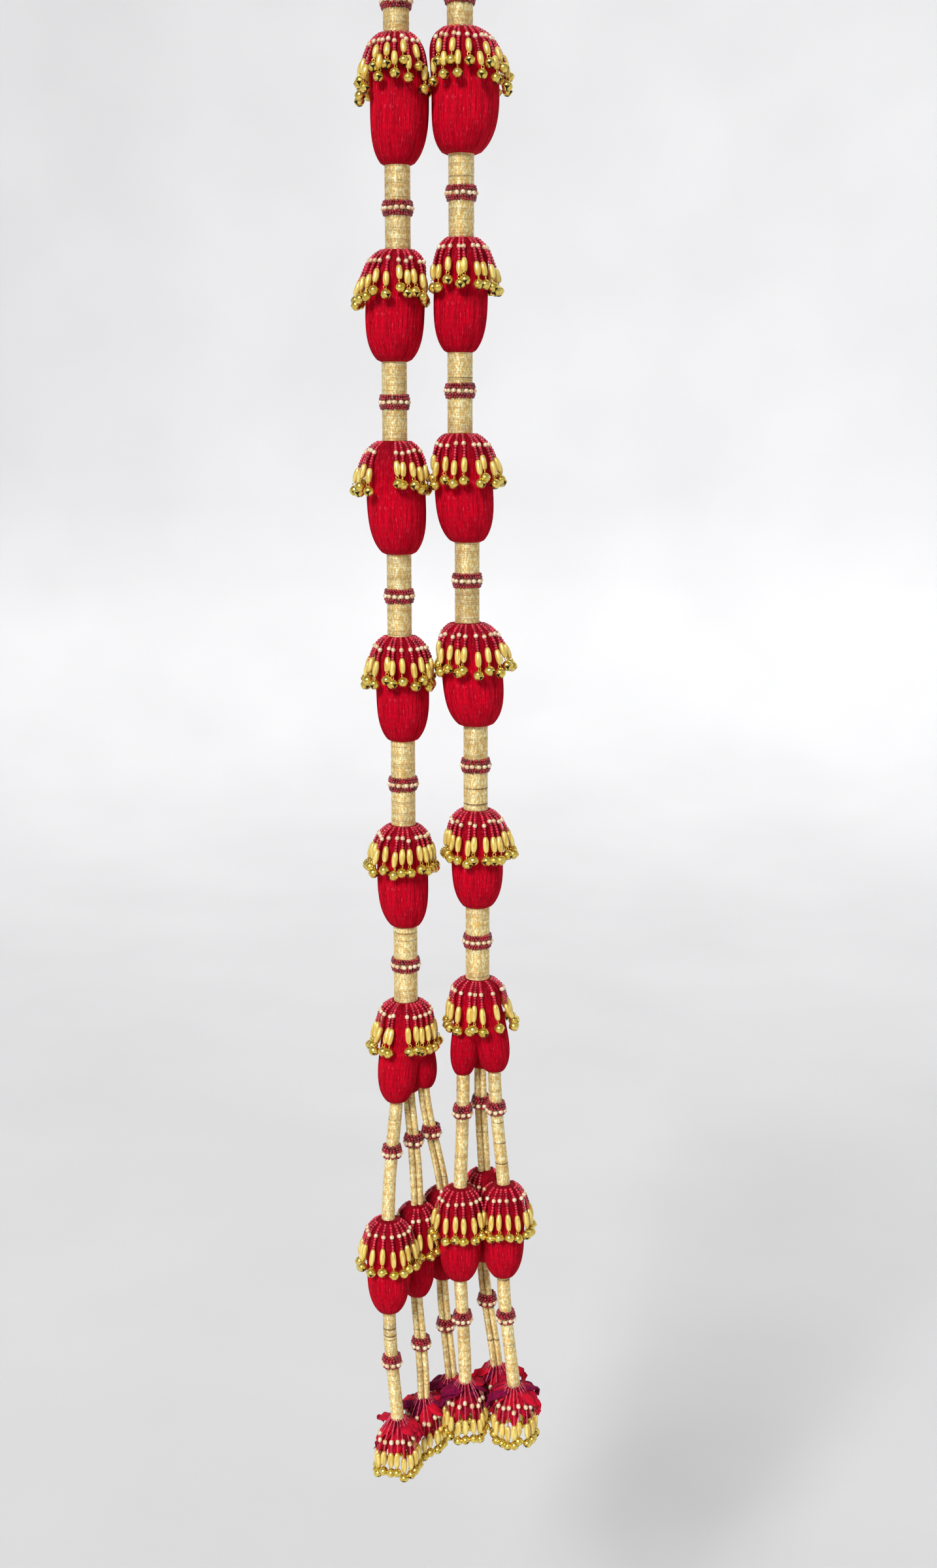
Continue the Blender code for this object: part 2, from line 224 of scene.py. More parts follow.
def route_length(route):
    return np.linalg.norm(np.diff(route, axis=0), axis=1).sum()


def fit(piece, body, looks, nodes=()):
    """Gives a finished piece its surface and fixes it to its body, in place of the nodes it stands for."""
    for look in looks:
        piece.data.materials.append(look.material)
    piece.data.shade_smooth()
    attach(piece, body)
    if nodes:
        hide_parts(*nodes)


def eased(share):
    """A share that starts and ends level."""
    return share * share * (3 - 2 * share)


loop_low, loop_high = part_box("hanging_loop")
LOOP_CORD = 1.5 * MM
LOOP_HALF = loop_high[0] - LOOP_CORD
LOOP_LEG = 3.2 * MM
LOOP_SUNK = 2.5 * MM  # how far the ends reach into the knob

eye_z = loop_high[2] - LOOP_CORD - LOOP_HALF
leg_share = np.linspace(0, 1, 12)
leg_x = LOOP_LEG + (LOOP_HALF - LOOP_LEG) * eased(leg_share)
leg_z = loop_low[2] - LOOP_SUNK + (eye_z - loop_low[2] + LOOP_SUNK) * leg_share
arch = np.linspace(0, pi, 24)[1:-1]
loop_x = np.concatenate([-leg_x, -LOOP_HALF * np.cos(arch), leg_x[::-1]])
loop_z = np.concatenate([leg_z, eye_z + LOOP_HALF * np.sin(arch), leg_z[::-1]])
loop_route = np.stack([loop_x, 0 * loop_x, loop_z], axis=1)
loop_length = route_length(loop_route)

loop = coil("loop_of_cord", 0.74 * MM, 0.80 * MM, 8, loop_length / (6 * MM), loop_length, 14, starts=3)
laid = points_of(loop)
place, way = along(loop_route, -laid[:, 2])
across = np.cross(way, [0, 1, 0])
laid = place + across * laid[:, :1] + np.array([0, 1, 0]) * laid[:, 1:2]
move_points(loop, laid)

cotton = Look("red_cotton_cord", {"Roughness": 0.78, "Sheen Weight": 0.25, "Sheen Roughness": 0.4})
fuzz = cotton.noise("Object", (1800, 1800, 900), 3, 0.35, 0.7)
cotton.feed(
    {
        "Base Color": cotton.mix(fuzz, srgb(120, 2, 24), srgb(178, 8, 40)),
        "Normal": cotton.bump(fuzz, 0.12 * MM),
    }
)
fit(loop, "root", [cotton], ["hanging_loop"])


# ---------------------------------------------------------------- the gold-wound knob
# The knob that gathers both strands: a firm core wound from end to end with zari, a fine metal-wrapped
# thread, in close level turns.

ZARI_THREAD = 0.29 * MM
TURN_PITCH = 1.85 * ZARI_THREAD  # from one turn to the next, a little pressed together
POLE = 0.04  # the share of a core's outline that closes each of its ends


def ball(name, around, down):
    """A ball of unit radius with closed poles, ready for its real outline."""
    bpy.ops.object.select_all(action="DESELECT")
    bpy.ops.mesh.primitive_uv_sphere_add(segments=around, ring_count=down, radius=1)
    piece = bpy.context.object
    piece.name = name
    piece.data.name = name
    return piece


def shape(piece, outline):
    """Moves a ball's surface to outline(share, turn), which gives x, y and z: share runs from the top pole
    to the bottom one, and turn is the angle round, nothing at the front and growing to the right."""
    x, y, z = points_of(piece).T
    share = np.arccos(np.clip(z, -1, 1)) / pi
    turn = np.arctan2(x, -y)
    move_points(piece, np.stack(np.broadcast_arrays(*outline(share, turn)), axis=1))


def wind(name, top, bottom, girth, middle, steps=20):
    """Gold thread wound in close turns round a core. girth gives the radius and middle the x and y at a
    share of the way down."""
    height = top - bottom
    coiled = coil(name, ZARI_THREAD, 1.0, 5, height / TURN_PITCH, height, steps)
    x, y, z = points_of(coiled).T
    share = np.clip(-z / height, 0, 1)
    turn = np.arctan2(x, -y)
    reach = girth(share) - ZARI_THREAD * 0.9 + (np.hypot(x, y) - 1)
    mid_x, mid_y = middle(share)
    wound = (mid_x + reach * np.sin(turn), mid_y - reach * np.cos(turn), top + z)
    move_points(coiled, np.stack(wound, axis=1))

    def core_outline(share, turn):
        down = np.clip((share - POLE) / (1 - 2 * POLE), 0, 1)
        radius = (girth(down) - ZARI_THREAD) * np.minimum(1, np.minimum(share, 1 - share) / POLE)
        mid_x, mid_y = middle(down)
        return mid_x + radius * np.sin(turn), mid_y - radius * np.cos(turn), top - height * down

    core = ball("core", 24, 25)
    shape(core, core_outline)
    return join(name, [coiled, core])


zari = Look("gold_zari", {"Metallic": 0.35, "Specular IOR Level": 0.5})
fleck_and_glint = zari.noise("Object", (1000, 1000, 560), 2, 0.42, 0.62)
turn_tone = zari.noise("Object", (30, 30, 620), 2, 0.45, 0.7)
dark_turn = zari.noise("Object", (10, 10, 480), 1, 0.66, 0.72)
tarnish = zari.noise("Object", (90, 90, 60), 3, 0.56, 0.76)
# partly the metal strip's own unevenness, which also sets roughness and bump, and partly painted glints: the
# flecks' near-white pale end stands for highlights
pale_gold = zari.mix(fleck_and_glint, srgb(230, 194, 116), srgb(255, 250, 202))
toned_gold = zari.mix(turn_tone * 0.4, pale_gold, srgb(172, 124, 56))
worn_gold = zari.mix(tarnish * 0.35, toned_gold, srgb(128, 86, 40))
zari.feed(
    {
        "Base Color": zari.mix(dark_turn * 0.8, worn_gold, srgb(92, 58, 28)),
        "Roughness": 0.5 - fleck_and_glint * 0.2,
        "Normal": zari.bump(fleck_and_glint * 0.5 + turn_tone * 0.5, 0.22 * MM, 0.7),
    }
)

KNOB_HEIGHTS = (0, 0.05, 0.12, 0.35, 0.65, 0.9, 1)  # shares of the way down
KNOB_GIRTHS = (0.5, 0.7, 0.82, 1, 1, 0.93, 0.84)  # the radius there, as a share of the largest
knob_low, knob_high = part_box("top_knob")
knob_radius = (knob_high[0] - knob_low[0]) / 2


def knob_girth(share):
    return knob_radius * np.interp(share, KNOB_HEIGHTS, KNOB_GIRTHS)


def knob_middle(share):
    return 0 * share, 0 * share


knob = wind("wound_knob", knob_high[2], knob_low[2], knob_girth, knob_middle, steps=28)
fit(knob, "knob", [zari], ["top_knob"])


# ---------------------------------------------------------------- the stems
# Thick cords wound with the same zari from bulb to bulb. The two first stems leave the knob slim and side by
# side, and swing out to the lines of their strands. The windings run a little way into the silk at each end.

SIDES = ("left", "right")
STEM_RADIUS = 6.5 * MM
STEM_SUNK = 0.9 * MM
FIRST_STEM_TOP = 2.95 * MM  # the first stem's radius in the knob
FIRST_STEM_X = 3.7 * MM  # how far from the middle it leaves the knob
FIRST_STEM_SWING = 36 * MM  # the height over which the first stems part


def stem_ends(side, number):
    """The joints at the top and the bottom of one of a strand's stems."""
    top = joint_at(f"{side}_waist_{number}" if number else f"{side}_spread")
    return top, joint_at(f"{side}_neck_{number + 1}")


for side in SIDES:
    for number in range(6):
        top, bottom = stem_ends(side, number)
        height = top.z - bottom.z
        swing = FIRST_STEM_SWING / height if number == 0 else 1.0
        start_x = np.sign(bottom.x) * FIRST_STEM_X if number == 0 else top.x
        thin = FIRST_STEM_TOP if number == 0 else STEM_RADIUS

        def stem_line(share):
            return start_x + (bottom.x - start_x) * eased(np.minimum(share / swing, 1)), 0 * share

        def stem_girth(share):
            return thin + (STEM_RADIUS - thin) * eased(np.minimum(share / swing, 1))

        name = f"{side}_winding_{number}"
        stem = wind(name, top.z + STEM_SUNK, bottom.z - STEM_SUNK, stem_girth, stem_line)
        fit(stem, f"{side}_stem_{number}", [zari], [f"{side}_stem_{number}"])


# ---------------------------------------------------------------- the bead rings
# A collar of glass seed beads sewn round each stem: two rows of red seeds, a row of cream-gold beads that
# stands proud, and two more rows of red seeds. Sewn by hand, so no row is quite even.

SEED_RADIUS = 0.92 * MM
SEED_HALF = 0.72 * MM
CREAM_RADIUS = 1.28 * MM
RED, CREAM = 0, 1


def pattern(piece, marks=None):
    """A modelled bead as points, faces and each face's surface number. The bead itself is put away."""
    faces = [tuple(face.vertices) for face in piece.data.polygons]
    made = points_of(piece), faces, marks or [0] * len(faces)
    bpy.data.objects.remove(piece, do_unlink=True)
    return made


def strung(name, beads):
    """One piece from many copies of modelled beads. Each is (pattern, place, way its hole runs, size across
    and half length, surface number, twist)."""
    points, faces, marks, count = [], [], [], 0
    for (shape_points, shape_faces, shape_marks), place, way, size, mark, twist in beads:
        turned = Vector(way).to_track_quat("Z", "Y").to_matrix() @ Matrix.Rotation(twist, 3, "Z")
        scaled = shape_points * np.array([size[0], size[0], size[1]])
        points.append(scaled @ np.array(turned).T + np.array(place))
        faces += [tuple(corner + count for corner in face) for face in shape_faces]
        marks += [mark + shape_mark for shape_mark in shape_marks]
        count += len(shape_points)
    mesh = bpy.data.meshes.new(name)
    mesh.from_pydata(np.concatenate(points).tolist(), [], faces)
    mesh.polygons.foreach_set("material_index", marks)
    piece = bpy.data.objects.new(name, mesh)
    bpy.context.collection.objects.link(piece)
    return piece


def seed_outline(share, turn):
    """A round bead with a rather flat top and bottom."""
    radius = np.sin(pi * share) ** 0.7
    return radius * np.sin(turn), -radius * np.cos(turn), np.cos(pi * share)


seed_ball = ball("seed", 7, 5)
shape(seed_ball, seed_outline)
SEED = pattern(seed_ball)


def row_of_beads(middle, radius, count, size, mark, rng, wobble):
    """Beads side by side round a stem, their holes running round it."""
    beads = []
    start = rng.uniform(0, tau)
    for i in range(count):
        turn = start + tau * (i + rng.uniform(-0.12, 0.12)) / count
        reach = radius + rng.uniform(-0.1, 0.1) * MM
        place = (
            middle[0] + reach * np.sin(turn),
            middle[1] - reach * np.cos(turn),
            middle[2] + rng.uniform(-wobble, wobble),
        )
        way = (np.cos(turn), np.sin(turn), rng.uniform(-0.1, 0.1))
        beads.append((SEED, place, way, (size[0] * rng.uniform(0.93, 1.06), size[1]), mark, 0))
    return beads


red_glass = Look(
    "red_seed_beads", {"Roughness": 0.24, "Coat Weight": 0.5, "Coat Roughness": 0.08, "IOR": 1.5}
)
bead_tone = red_glass.noise("Object", (420, 420, 420), 1, 0.34, 0.66)
red_glass.feed({"Base Color": red_glass.mix(bead_tone, srgb(138, 4, 32), srgb(228, 36, 70))})

garnet_glass = Look("garnet_seed_beads", {"Roughness": 0.26, "Coat Weight": 0.4, "Coat Roughness": 0.1})
garnet_tone = garnet_glass.noise("Object", (420, 420, 420), 1, 0.34, 0.66)
garnet_glass.feed({"Base Color": garnet_glass.mix(garnet_tone, srgb(92, 0, 20), srgb(168, 8, 34))})

cream_glass = Look("cream_gold_beads", {"Metallic": 0.25, "Roughness": 0.22, "Coat Weight": 0.6})
pearl = cream_glass.noise("Object", (500, 500, 500), 1, 0.35, 0.65)
cream_glass.feed({"Base Color": cream_glass.mix(pearl, srgb(226, 176, 128), srgb(255, 240, 206))})

RING_ROWS = (  # height above the ring's middle, distance out from the stem, surface
    (2.9, 0.3, RED),
    (1.6, 0.65, RED),
    (-0.2, 0.9, CREAM),
    (-1.9, 0.55, RED),
    (-3.1, 0.2, RED),
)
RING_SHARE = {"left": 0.51, "right": 0.47}  # how far down its stem each ring sits
FIRST_RING_HEIGHT = 14.5 * MM  # of the first stem's ring above its foot
RED_SPACING, CREAM_SPACING = 2.02, 2.55  # from bead to bead, in half lengths of a bead
EXTRA_BEADS = 15  # one more row of cream beads, on the left strand's first ring

for side in SIDES:
    for number in range(6):
        rng = np.random.default_rng(100 + 10 * number + len(side))
        top, bottom = stem_ends(side, number)
        ring = top.lerp(bottom, RING_SHARE[side])
        if number == 0:
            ring = bottom + Vector((0, 0, FIRST_RING_HEIGHT))
        beads = []
        for rise, out, mark in RING_ROWS:
            size = (CREAM_RADIUS, CREAM_RADIUS) if mark == CREAM else (SEED_RADIUS, SEED_HALF)
            spacing = CREAM_SPACING if mark == CREAM else RED_SPACING
            count = round(tau * (STEM_RADIUS + out * MM) / (spacing * size[1]))
            row = (ring.x, 0, ring.z + rise * MM)
            beads += row_of_beads(row, STEM_RADIUS + out * MM, count, size, mark, rng, 0.22 * MM)
        if number == 0 and side == "left":
            row, size = (ring.x, 0, ring.z + 2.2 * MM), (CREAM_RADIUS, CREAM_RADIUS)
            beads += row_of_beads(row, STEM_RADIUS + 1.0 * MM, EXTRA_BEADS, size, CREAM, rng, 0.5 * MM)
        collar = strung(f"{side}_bead_ring_{number}", beads)
        fit(collar, f"{side}_stem_{number}", [garnet_glass, cream_glass])


# ---------------------------------------------------------------- the silk bulbs
# Crimson silk floss laid lengthwise over a firm stuffed core and gathered in at both ends by the windings.
# The threads lie in fine uneven ridges from the neck to the foot.

THREADS = 96
THREAD_DEPTH = 0.46 * MM
BULB_NECK = 0.5  # radius where the silk meets the stem above, as a share of the largest
BULB_FOOT = 0.52  # the same where it meets the stem below
BULB_WIDEST = 0.45  # how far down the largest radius is
TOP_POLE, FOOT_POLE = 0.03, 0.05  # the shares of its outline that close a bulb's two ends


def bulb_outline(share):
    """A bulb's radius, as a share of its largest, at a share of its length from the top."""
    over = (1 - BULB_NECK**2) * np.clip(1 - share / BULB_WIDEST, 0, 1) ** 5
    under = (1 - BULB_FOOT**2) * np.clip((share - BULB_WIDEST) / (1 - BULB_WIDEST), 0, 1) ** 3.5
    return np.sqrt(1 - over - under)


def silk_body(name, top, height, girth, middle, rng, threads=THREADS, down=46):
    """A silk bulb or lobe with its laid threads: girth is the largest radius, and middle the x and y at a
    share of the way down."""
    around = threads * 2
    depth = THREAD_DEPTH * rng.uniform(0.35, 1.0, around)
    sway = rng.uniform(0, tau, 4)

    def outline(share, turn):
        down_share = np.clip((share - TOP_POLE) / (1 - TOP_POLE - FOOT_POLE), 0, 1)
        closing = np.minimum(1, np.minimum(share / TOP_POLE, (1 - share) / FOOT_POLE))
        thread = np.rint(turn / tau * around).astype(int) % around
        hollow = np.where(thread % 2 == 1, depth[thread], 0)
        radius = girth * bulb_outline(down_share)
        lumps = 1 + 0.012 * np.sin(2 * turn + sway[0]) + 0.010 * np.sin(5 * turn + sway[1] + 3 * share)
        radius = (radius * lumps - hollow * radius / girth) * closing
        lean = turn + 0.06 * np.sin(2.5 * share + sway[2]) + 0.015 * np.sin(9 * share + 3 * turn + sway[3])
        mid_x, mid_y = middle(down_share)
        return mid_x + radius * np.sin(lean), mid_y - radius * np.cos(lean), top - height * down_share

    body = ball(name, around, down)
    shape(body, outline)
    return body


silk = Look(
    "crimson_silk", {"Specular IOR Level": 0.06, "Sheen Weight": 0.02, "Sheen Tint": srgb(255, 40, 80)}
)
strand_tone = silk.noise("UV", (150, 4, 1), 2, 0.4, 0.6)
fine_strand = silk.noise("UV", (430, 12, 1), 2, 0.42, 0.62)
glint = silk.noise("UV", (300, 22, 1), 1, 0.65, 0.72)
deep_red = silk.mix(strand_tone, srgb(160, 0, 22), srgb(232, 0, 40))
bright_red = silk.mix(fine_strand * 0.55, deep_red, srgb(240, 0, 46))
# painted shade: towards the top of each bulb, where the bead skirt lies over it, the silk's colour is
# darkened to stand for the skirt's shadow
height_up = silk.node("ShaderNodeSeparateXYZ", {}, [silk.coords("UV", (1, 1, 1))], output=1)
painted_skirt_shade = silk.node("ShaderNodeMapRange", {}, {0: height_up, 1: 0.62, 2: 0.86, 3: 0.0, 4: 0.6})
red_with_painted_shade = silk.mix(painted_skirt_shade, bright_red, srgb(104, 0, 18))
silk.feed(
    {
        "Base Color": silk.mix(glint * 0.6, red_with_painted_shade, srgb(255, 88, 116)),
        "Roughness": 0.6 - glint * 0.2,
        "Normal": silk.bump(strand_tone * 0.5 + fine_strand * 0.5, 0.45 * MM, 0.9),
    }
)


def bulb_line(side, number):
    """A bulb's top, height, largest radius, and its middle at a share of the way down."""
    top = joint_at(f"{side}_neck_{number}")
    foot = joint_at(f"{side}_waist_{number}")
    low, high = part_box(f"{side}_bulb_{number}")
    belly = (low[0] + high[0]) / 2 - (top.x + foot.x) / 2

    def middle(share):
        return top.x + (foot.x - top.x) * share + belly * np.sin(pi * share), 0 * share

    return top, top.z - foot.z, (high[0] - low[0]) / 2, middle


for side in SIDES:
    for number in range(1, 6):
        rng = np.random.default_rng(200 + 10 * number + len(side))
        top, height, girth, middle = bulb_line(side, number)
        bulb = silk_body(f"{side}_silk_{number}", top.z, height, girth, middle, rng)
        fit(bulb, f"{side}_bulb_{number}", [silk], [f"{side}_bulb_{number}"])


# ---------------------------------------------------------------- the last bulbs, in three lobes
# Each strand's last bulb is bound of the same silk, but its floss is parted into three under the skirt: one
# lobe for each of the drops that hang from it.

LOBE_RADIUS = {  # the front ones are fuller
    "left_drop_1": 11.2,
    "left_drop_2": 8.8,
    "left_drop_3": 8.6,
    "right_drop_1": 8.2,
    "right_drop_2": 8.4,
    "right_drop_3": 9.8,
}
LOBE_START = 4.0 * MM
CROWN_HEIGHT = 36 * MM  # the undivided top of the bulb
CROWN_RADIUS = 13.2 * MM


def lobe_line(drop):
    """A lobe's top, height and largest radius, and its middle at a share of the way down."""
    neck = joint_at(f"{drop.split('_')[0]}_neck_6")
    end = joint_at(f"{drop}_swing")

    def middle(share):
        swung = 1 - (1 - np.clip(share, 0, 1)) ** 1.6
        return neck.x + (end.x - neck.x) * swung, (end.y - neck.y) * swung

    return neck.z - LOBE_START, neck.z - LOBE_START - end.z, LOBE_RADIUS[drop] * MM, middle


for side in SIDES:
    neck = joint_at(f"{side}_neck_6")
    rng = np.random.default_rng(290 + len(side))

    def straight_down(share):
        return neck.x + 0 * share, neck.y + 0 * share

    lobes = [silk_body("crown", neck.z, CROWN_HEIGHT, CROWN_RADIUS, straight_down, rng)]
    for number in (1, 2, 3):
        rng = np.random.default_rng(300 + 10 * number + len(side))
        top, height, girth, middle = lobe_line(f"{side}_drop_{number}")
        lobes.append(silk_body("lobe", top, height, girth, middle, rng, threads=64, down=40))
    lobed = join(f"{side}_silk_6", lobes)
    fit(lobed, f"{side}_bulb_6", [silk], [f"{side}_bulb_6"])


# ---------------------------------------------------------------- the bead skirts
# Strings of beads sewn on round each bulb's neck, lying over its shoulder: red seeds, one cream bead, red
# seeds, a long gold rice bead, and at the end a brass ghungroo bell on its wire eye.

SEED_PITCH = 1.5 * MM
CREAM_DEPTH = 5.1 * MM  # below the neck
STANDS_OFF_BY = 20 * MM  # the depth at which a string is as far out as it goes
CREAM_LENGTH = 2.3 * MM  # of string that a cream bead takes up
ROUTE_DEPTH, ROUTE_STEP = 62, 0.5  # mm
BELL_LENGTH = 2.35  # a bell with its eye, in bell radii
EYE_DEPTH = 1.3  # from the end of the rice bead to the bell's middle, in bell radii
SATIN, BRASS = 0, 1  # and a bell's slit, painted dark as shade, is the surface after its brass


def rice_outline(share, turn):
    """A long bead, full at the middle and blunt at its ends."""
    radius = np.sin(pi * share) ** 0.62
    return radius * np.sin(turn), -radius * np.cos(turn), np.cos(pi * share)


rice_ball = ball("rice", 8, 8)
shape(rice_ball, rice_outline)
RICE = pattern(rice_ball)


def bell_pattern():
    """A hollow jingle bell: a ball with a raised seam, a slit across its foot and a wire eye on its top."""
    bell = ball("bell", 12, 6)
    points = points_of(bell)
    for point in points:
        if abs(point[2]) < 0.01:
            point[:2] *= 1.07
        elif point[2] < -0.2:
            ring = np.hypot(point[0], point[1])
            if abs(point[0]) < 0.01:
                point *= 0.68
            elif abs(point[0]) < 0.6 * ring:
                point[0] *= 0.3
    move_points(bell, points)
    slit = [
        face.center[2] < -0.2 and any(abs(points[v][0]) < 0.01 for v in face.vertices)
        for face in bell.data.polygons
    ]
    bpy.ops.mesh.primitive_torus_add(
        major_segments=8, minor_segments=4, major_radius=0.3, minor_radius=0.09,
        location=(0, 0, 1.22), rotation=(pi / 2, 0, 0),
    )
    bpy.ops.object.transform_apply(location=True, rotation=True, scale=False)
    eye = bpy.context.object
    marks = [int(cut) for cut in slit] + [0] * len(eye.data.polygons)
    return pattern(join("bell", [bell, eye]), marks)


BELL = bell_pattern()

satin_gold = Look("satin_rice_beads", {"Metallic": 0.35, "Roughness": 0.3, "Coat Weight": 0.3})
grain = satin_gold.noise("Object", (900, 900, 120), 2, 0.35, 0.65)
satin_gold.feed({"Base Color": satin_gold.mix(grain, srgb(222, 180, 72), srgb(255, 236, 140))})

brass = Look("brass_bells", {"Metallic": 0.88})
worn = brass.noise("Object", (700, 700, 700), 2, 0.35, 0.65)
brass.feed(
    {
        "Base Color": brass.mix(worn, srgb(214, 176, 62), srgb(252, 232, 126)),
        "Roughness": 0.3 - worn * 0.1,
    }
)
# painted shade: the faces of a bell's slit are coloured a dark, mottled brown to stand for the shadow inside
# the hollow bell
painted_slit_shade = Look("bell_slit_painted_shade", {"Metallic": 0.6, "Roughness": 0.7})
slit_shade_mottle = painted_slit_shade.noise("Object", (900, 900, 900), 2, 0.3, 0.7)
painted_slit_shade.feed({"Base Color": painted_slit_shade.mix(slit_shade_mottle, srgb(28, 16, 6), srgb(70, 46, 14))})


def reach_of(circles, turn):
    """How far out of the origin a group of circles reaches in one direction."""
    way_x, way_y = np.sin(turn), -np.cos(turn)
    reaches = []
    for x, y, radius in circles:
        ahead = x * way_x + y * way_y
        reaches.append(ahead + np.sqrt(np.maximum(radius**2 - x * x - y * y + ahead * ahead, 0)))
    return max(reaches)


def string_route(axis, silk_at, turn, lean, start, clear, room):
    """The line of a string from a bulb's neck down over its silk, never coming back in. clear is how far it
    stands off the silk lower down, and room how far out it may hang."""
    places, out = [], start
    for depth in np.arange(0, ROUTE_DEPTH, ROUTE_STEP) * MM:
        silk_reach = reach_of(silk_at(depth), turn) + SEED_RADIUS * 0.7
        out = max(out, silk_reach + clear * min(1, depth / STANDS_OFF_BY) ** 1.3)
        held = max(min(out, room), silk_reach)
        angle = turn + lean * max(0, depth - 6 * MM) / (24 * MM)
        height = axis.z - 0.7 * MM - depth
        places.append((axis.x + held * np.sin(angle), axis.y - held * np.cos(angle), height))
    return np.array(places)


def string_beads(route, fall, sizes, rng):
    """The beads of one string whose bell ends at a depth of fall: (seeds and cream, rice and bell)."""
    rice, bell = sizes
    walked = np.concatenate([[0], np.cumsum(np.linalg.norm(np.diff(route, axis=0), axis=1))])
    cream_depth = CREAM_DEPTH + rng.uniform(-0.5, 0.5) * MM
    end, cream = (float(np.interp(depth, route[0, 2] - route[:, 2], walked)) for depth in (fall, cream_depth))
    link = 0.5 * MM
    threaded = end - rice[1] * 2 - bell * BELL_LENGTH - link - CREAM_LENGTH
    count = max(4, round(threaded / SEED_PITCH))
    pitch = threaded / count
    above = int(np.clip(round((cream - CREAM_LENGTH / 2) / pitch), 1, count - 1))
    seeds, ends = [], []
    distance = 0.0
    for i in range(count + 1):
        length = CREAM_LENGTH if i == above else pitch
        place, way = along(route, np.array(distance + length / 2))
        if i == above:
            seeds.append((SEED, place, -way, (CREAM_RADIUS, CREAM_RADIUS * 0.95), CREAM, rng.uniform(0, 3)))
        else:
            size = (SEED_RADIUS * rng.uniform(0.86, 1.0), pitch * 0.52)
            seeds.append((SEED, place, -way, size, RED, rng.uniform(0, 3)))
        distance += length
    place, way = along(route, np.array(distance + rice[1]))
    ends.append((RICE, place, -way, rice, SATIN, rng.uniform(0, 3)))
    distance += rice[1] * 2 + link
    place, way = along(route, np.array(distance + bell * EYE_DEPTH))
    hang = (-way[0] + rng.uniform(-0.2, 0.2), -way[1] + rng.uniform(-0.2, 0.2), 1.2)
    ends.append((BELL, place, hang, (bell, bell), BRASS, rng.uniform(0, 3)))
    return seeds, ends


def make_skirt(name, body, axis, silk_at, plan, rng):
    """Hangs a skirt of strings. In the plan, fall is a string's depth, clear how far it stands off the silk
    and room how far out a neighbour lets it hang, all from its angle and its number; partings are angles
    that the strings have been pushed away from, and blocked says where a bell can't be."""
    seeds, ends = [], []
    bell = plan["sizes"][1]
    for i in range(plan["count"]):
        turn = tau * (i + rng.uniform(-0.22, 0.22)) / plan["count"] - pi
        for parting, width in plan["partings"]:
            off = (turn - radians(parting) + pi) % tau - pi
            turn += np.sign(off) * radians(width) * np.exp(-((off / radians(width * 1.6)) ** 2))
        fall = plan["fall"](turn, i) + rng.uniform(-1.2, 1.2) * MM
        clear = plan["clear"](turn) + rng.uniform(0, 0.9) * MM
        room = plan["room"](turn)
        if room < reach_of(silk_at(fall - bell), turn) + bell * 0.4:
            continue
        route = string_route(axis, silk_at, turn, rng.uniform(-0.09, 0.09), plan["start"], clear, room)
        string_seeds, string_ends = string_beads(route, fall, plan["sizes"], rng)
        if plan["blocked"](string_ends[-1][1]):
            continue
        seeds += string_seeds
        ends += string_ends
    fit(strung(f"{name}_strings", seeds), body, [red_glass, cream_glass])
    fit(strung(f"{name}_bells", ends), body, [satin_gold, brass, painted_slit_shade])


SKIRT_FALL = {  # depth of the bells under each bulb's neck, in front, from the first bulb to the last
    "left": (21.8, 24.0, 24.5, 25.4, 25.3, 27.3),
    "right": (22.7, 25.4, 26.3, 25.9, 27.8, 27.8),
}
SKIRT_SIDE_DROP = {"left": (8, 5, 3.5, 1.5, 0, 0), "right": (5, 3, 0.5, -1, -1.5, 0)}  # more, at both sides
UNEVEN = (3, 0.8, 0.8, 1.0, 0.5, 0.3)  # by how much every second string is longer than its neighbours
STRINGS = {"left": (28, 22, 19, 21, 22, 20), "right": (28, 21, 21, 22, 22, 18)}
PARTINGS = {
    "left_3": ((-22, 18),),
    "left_6": ((-12, 10),),
    "right_6": ((22, 12), (56, 12)),
}

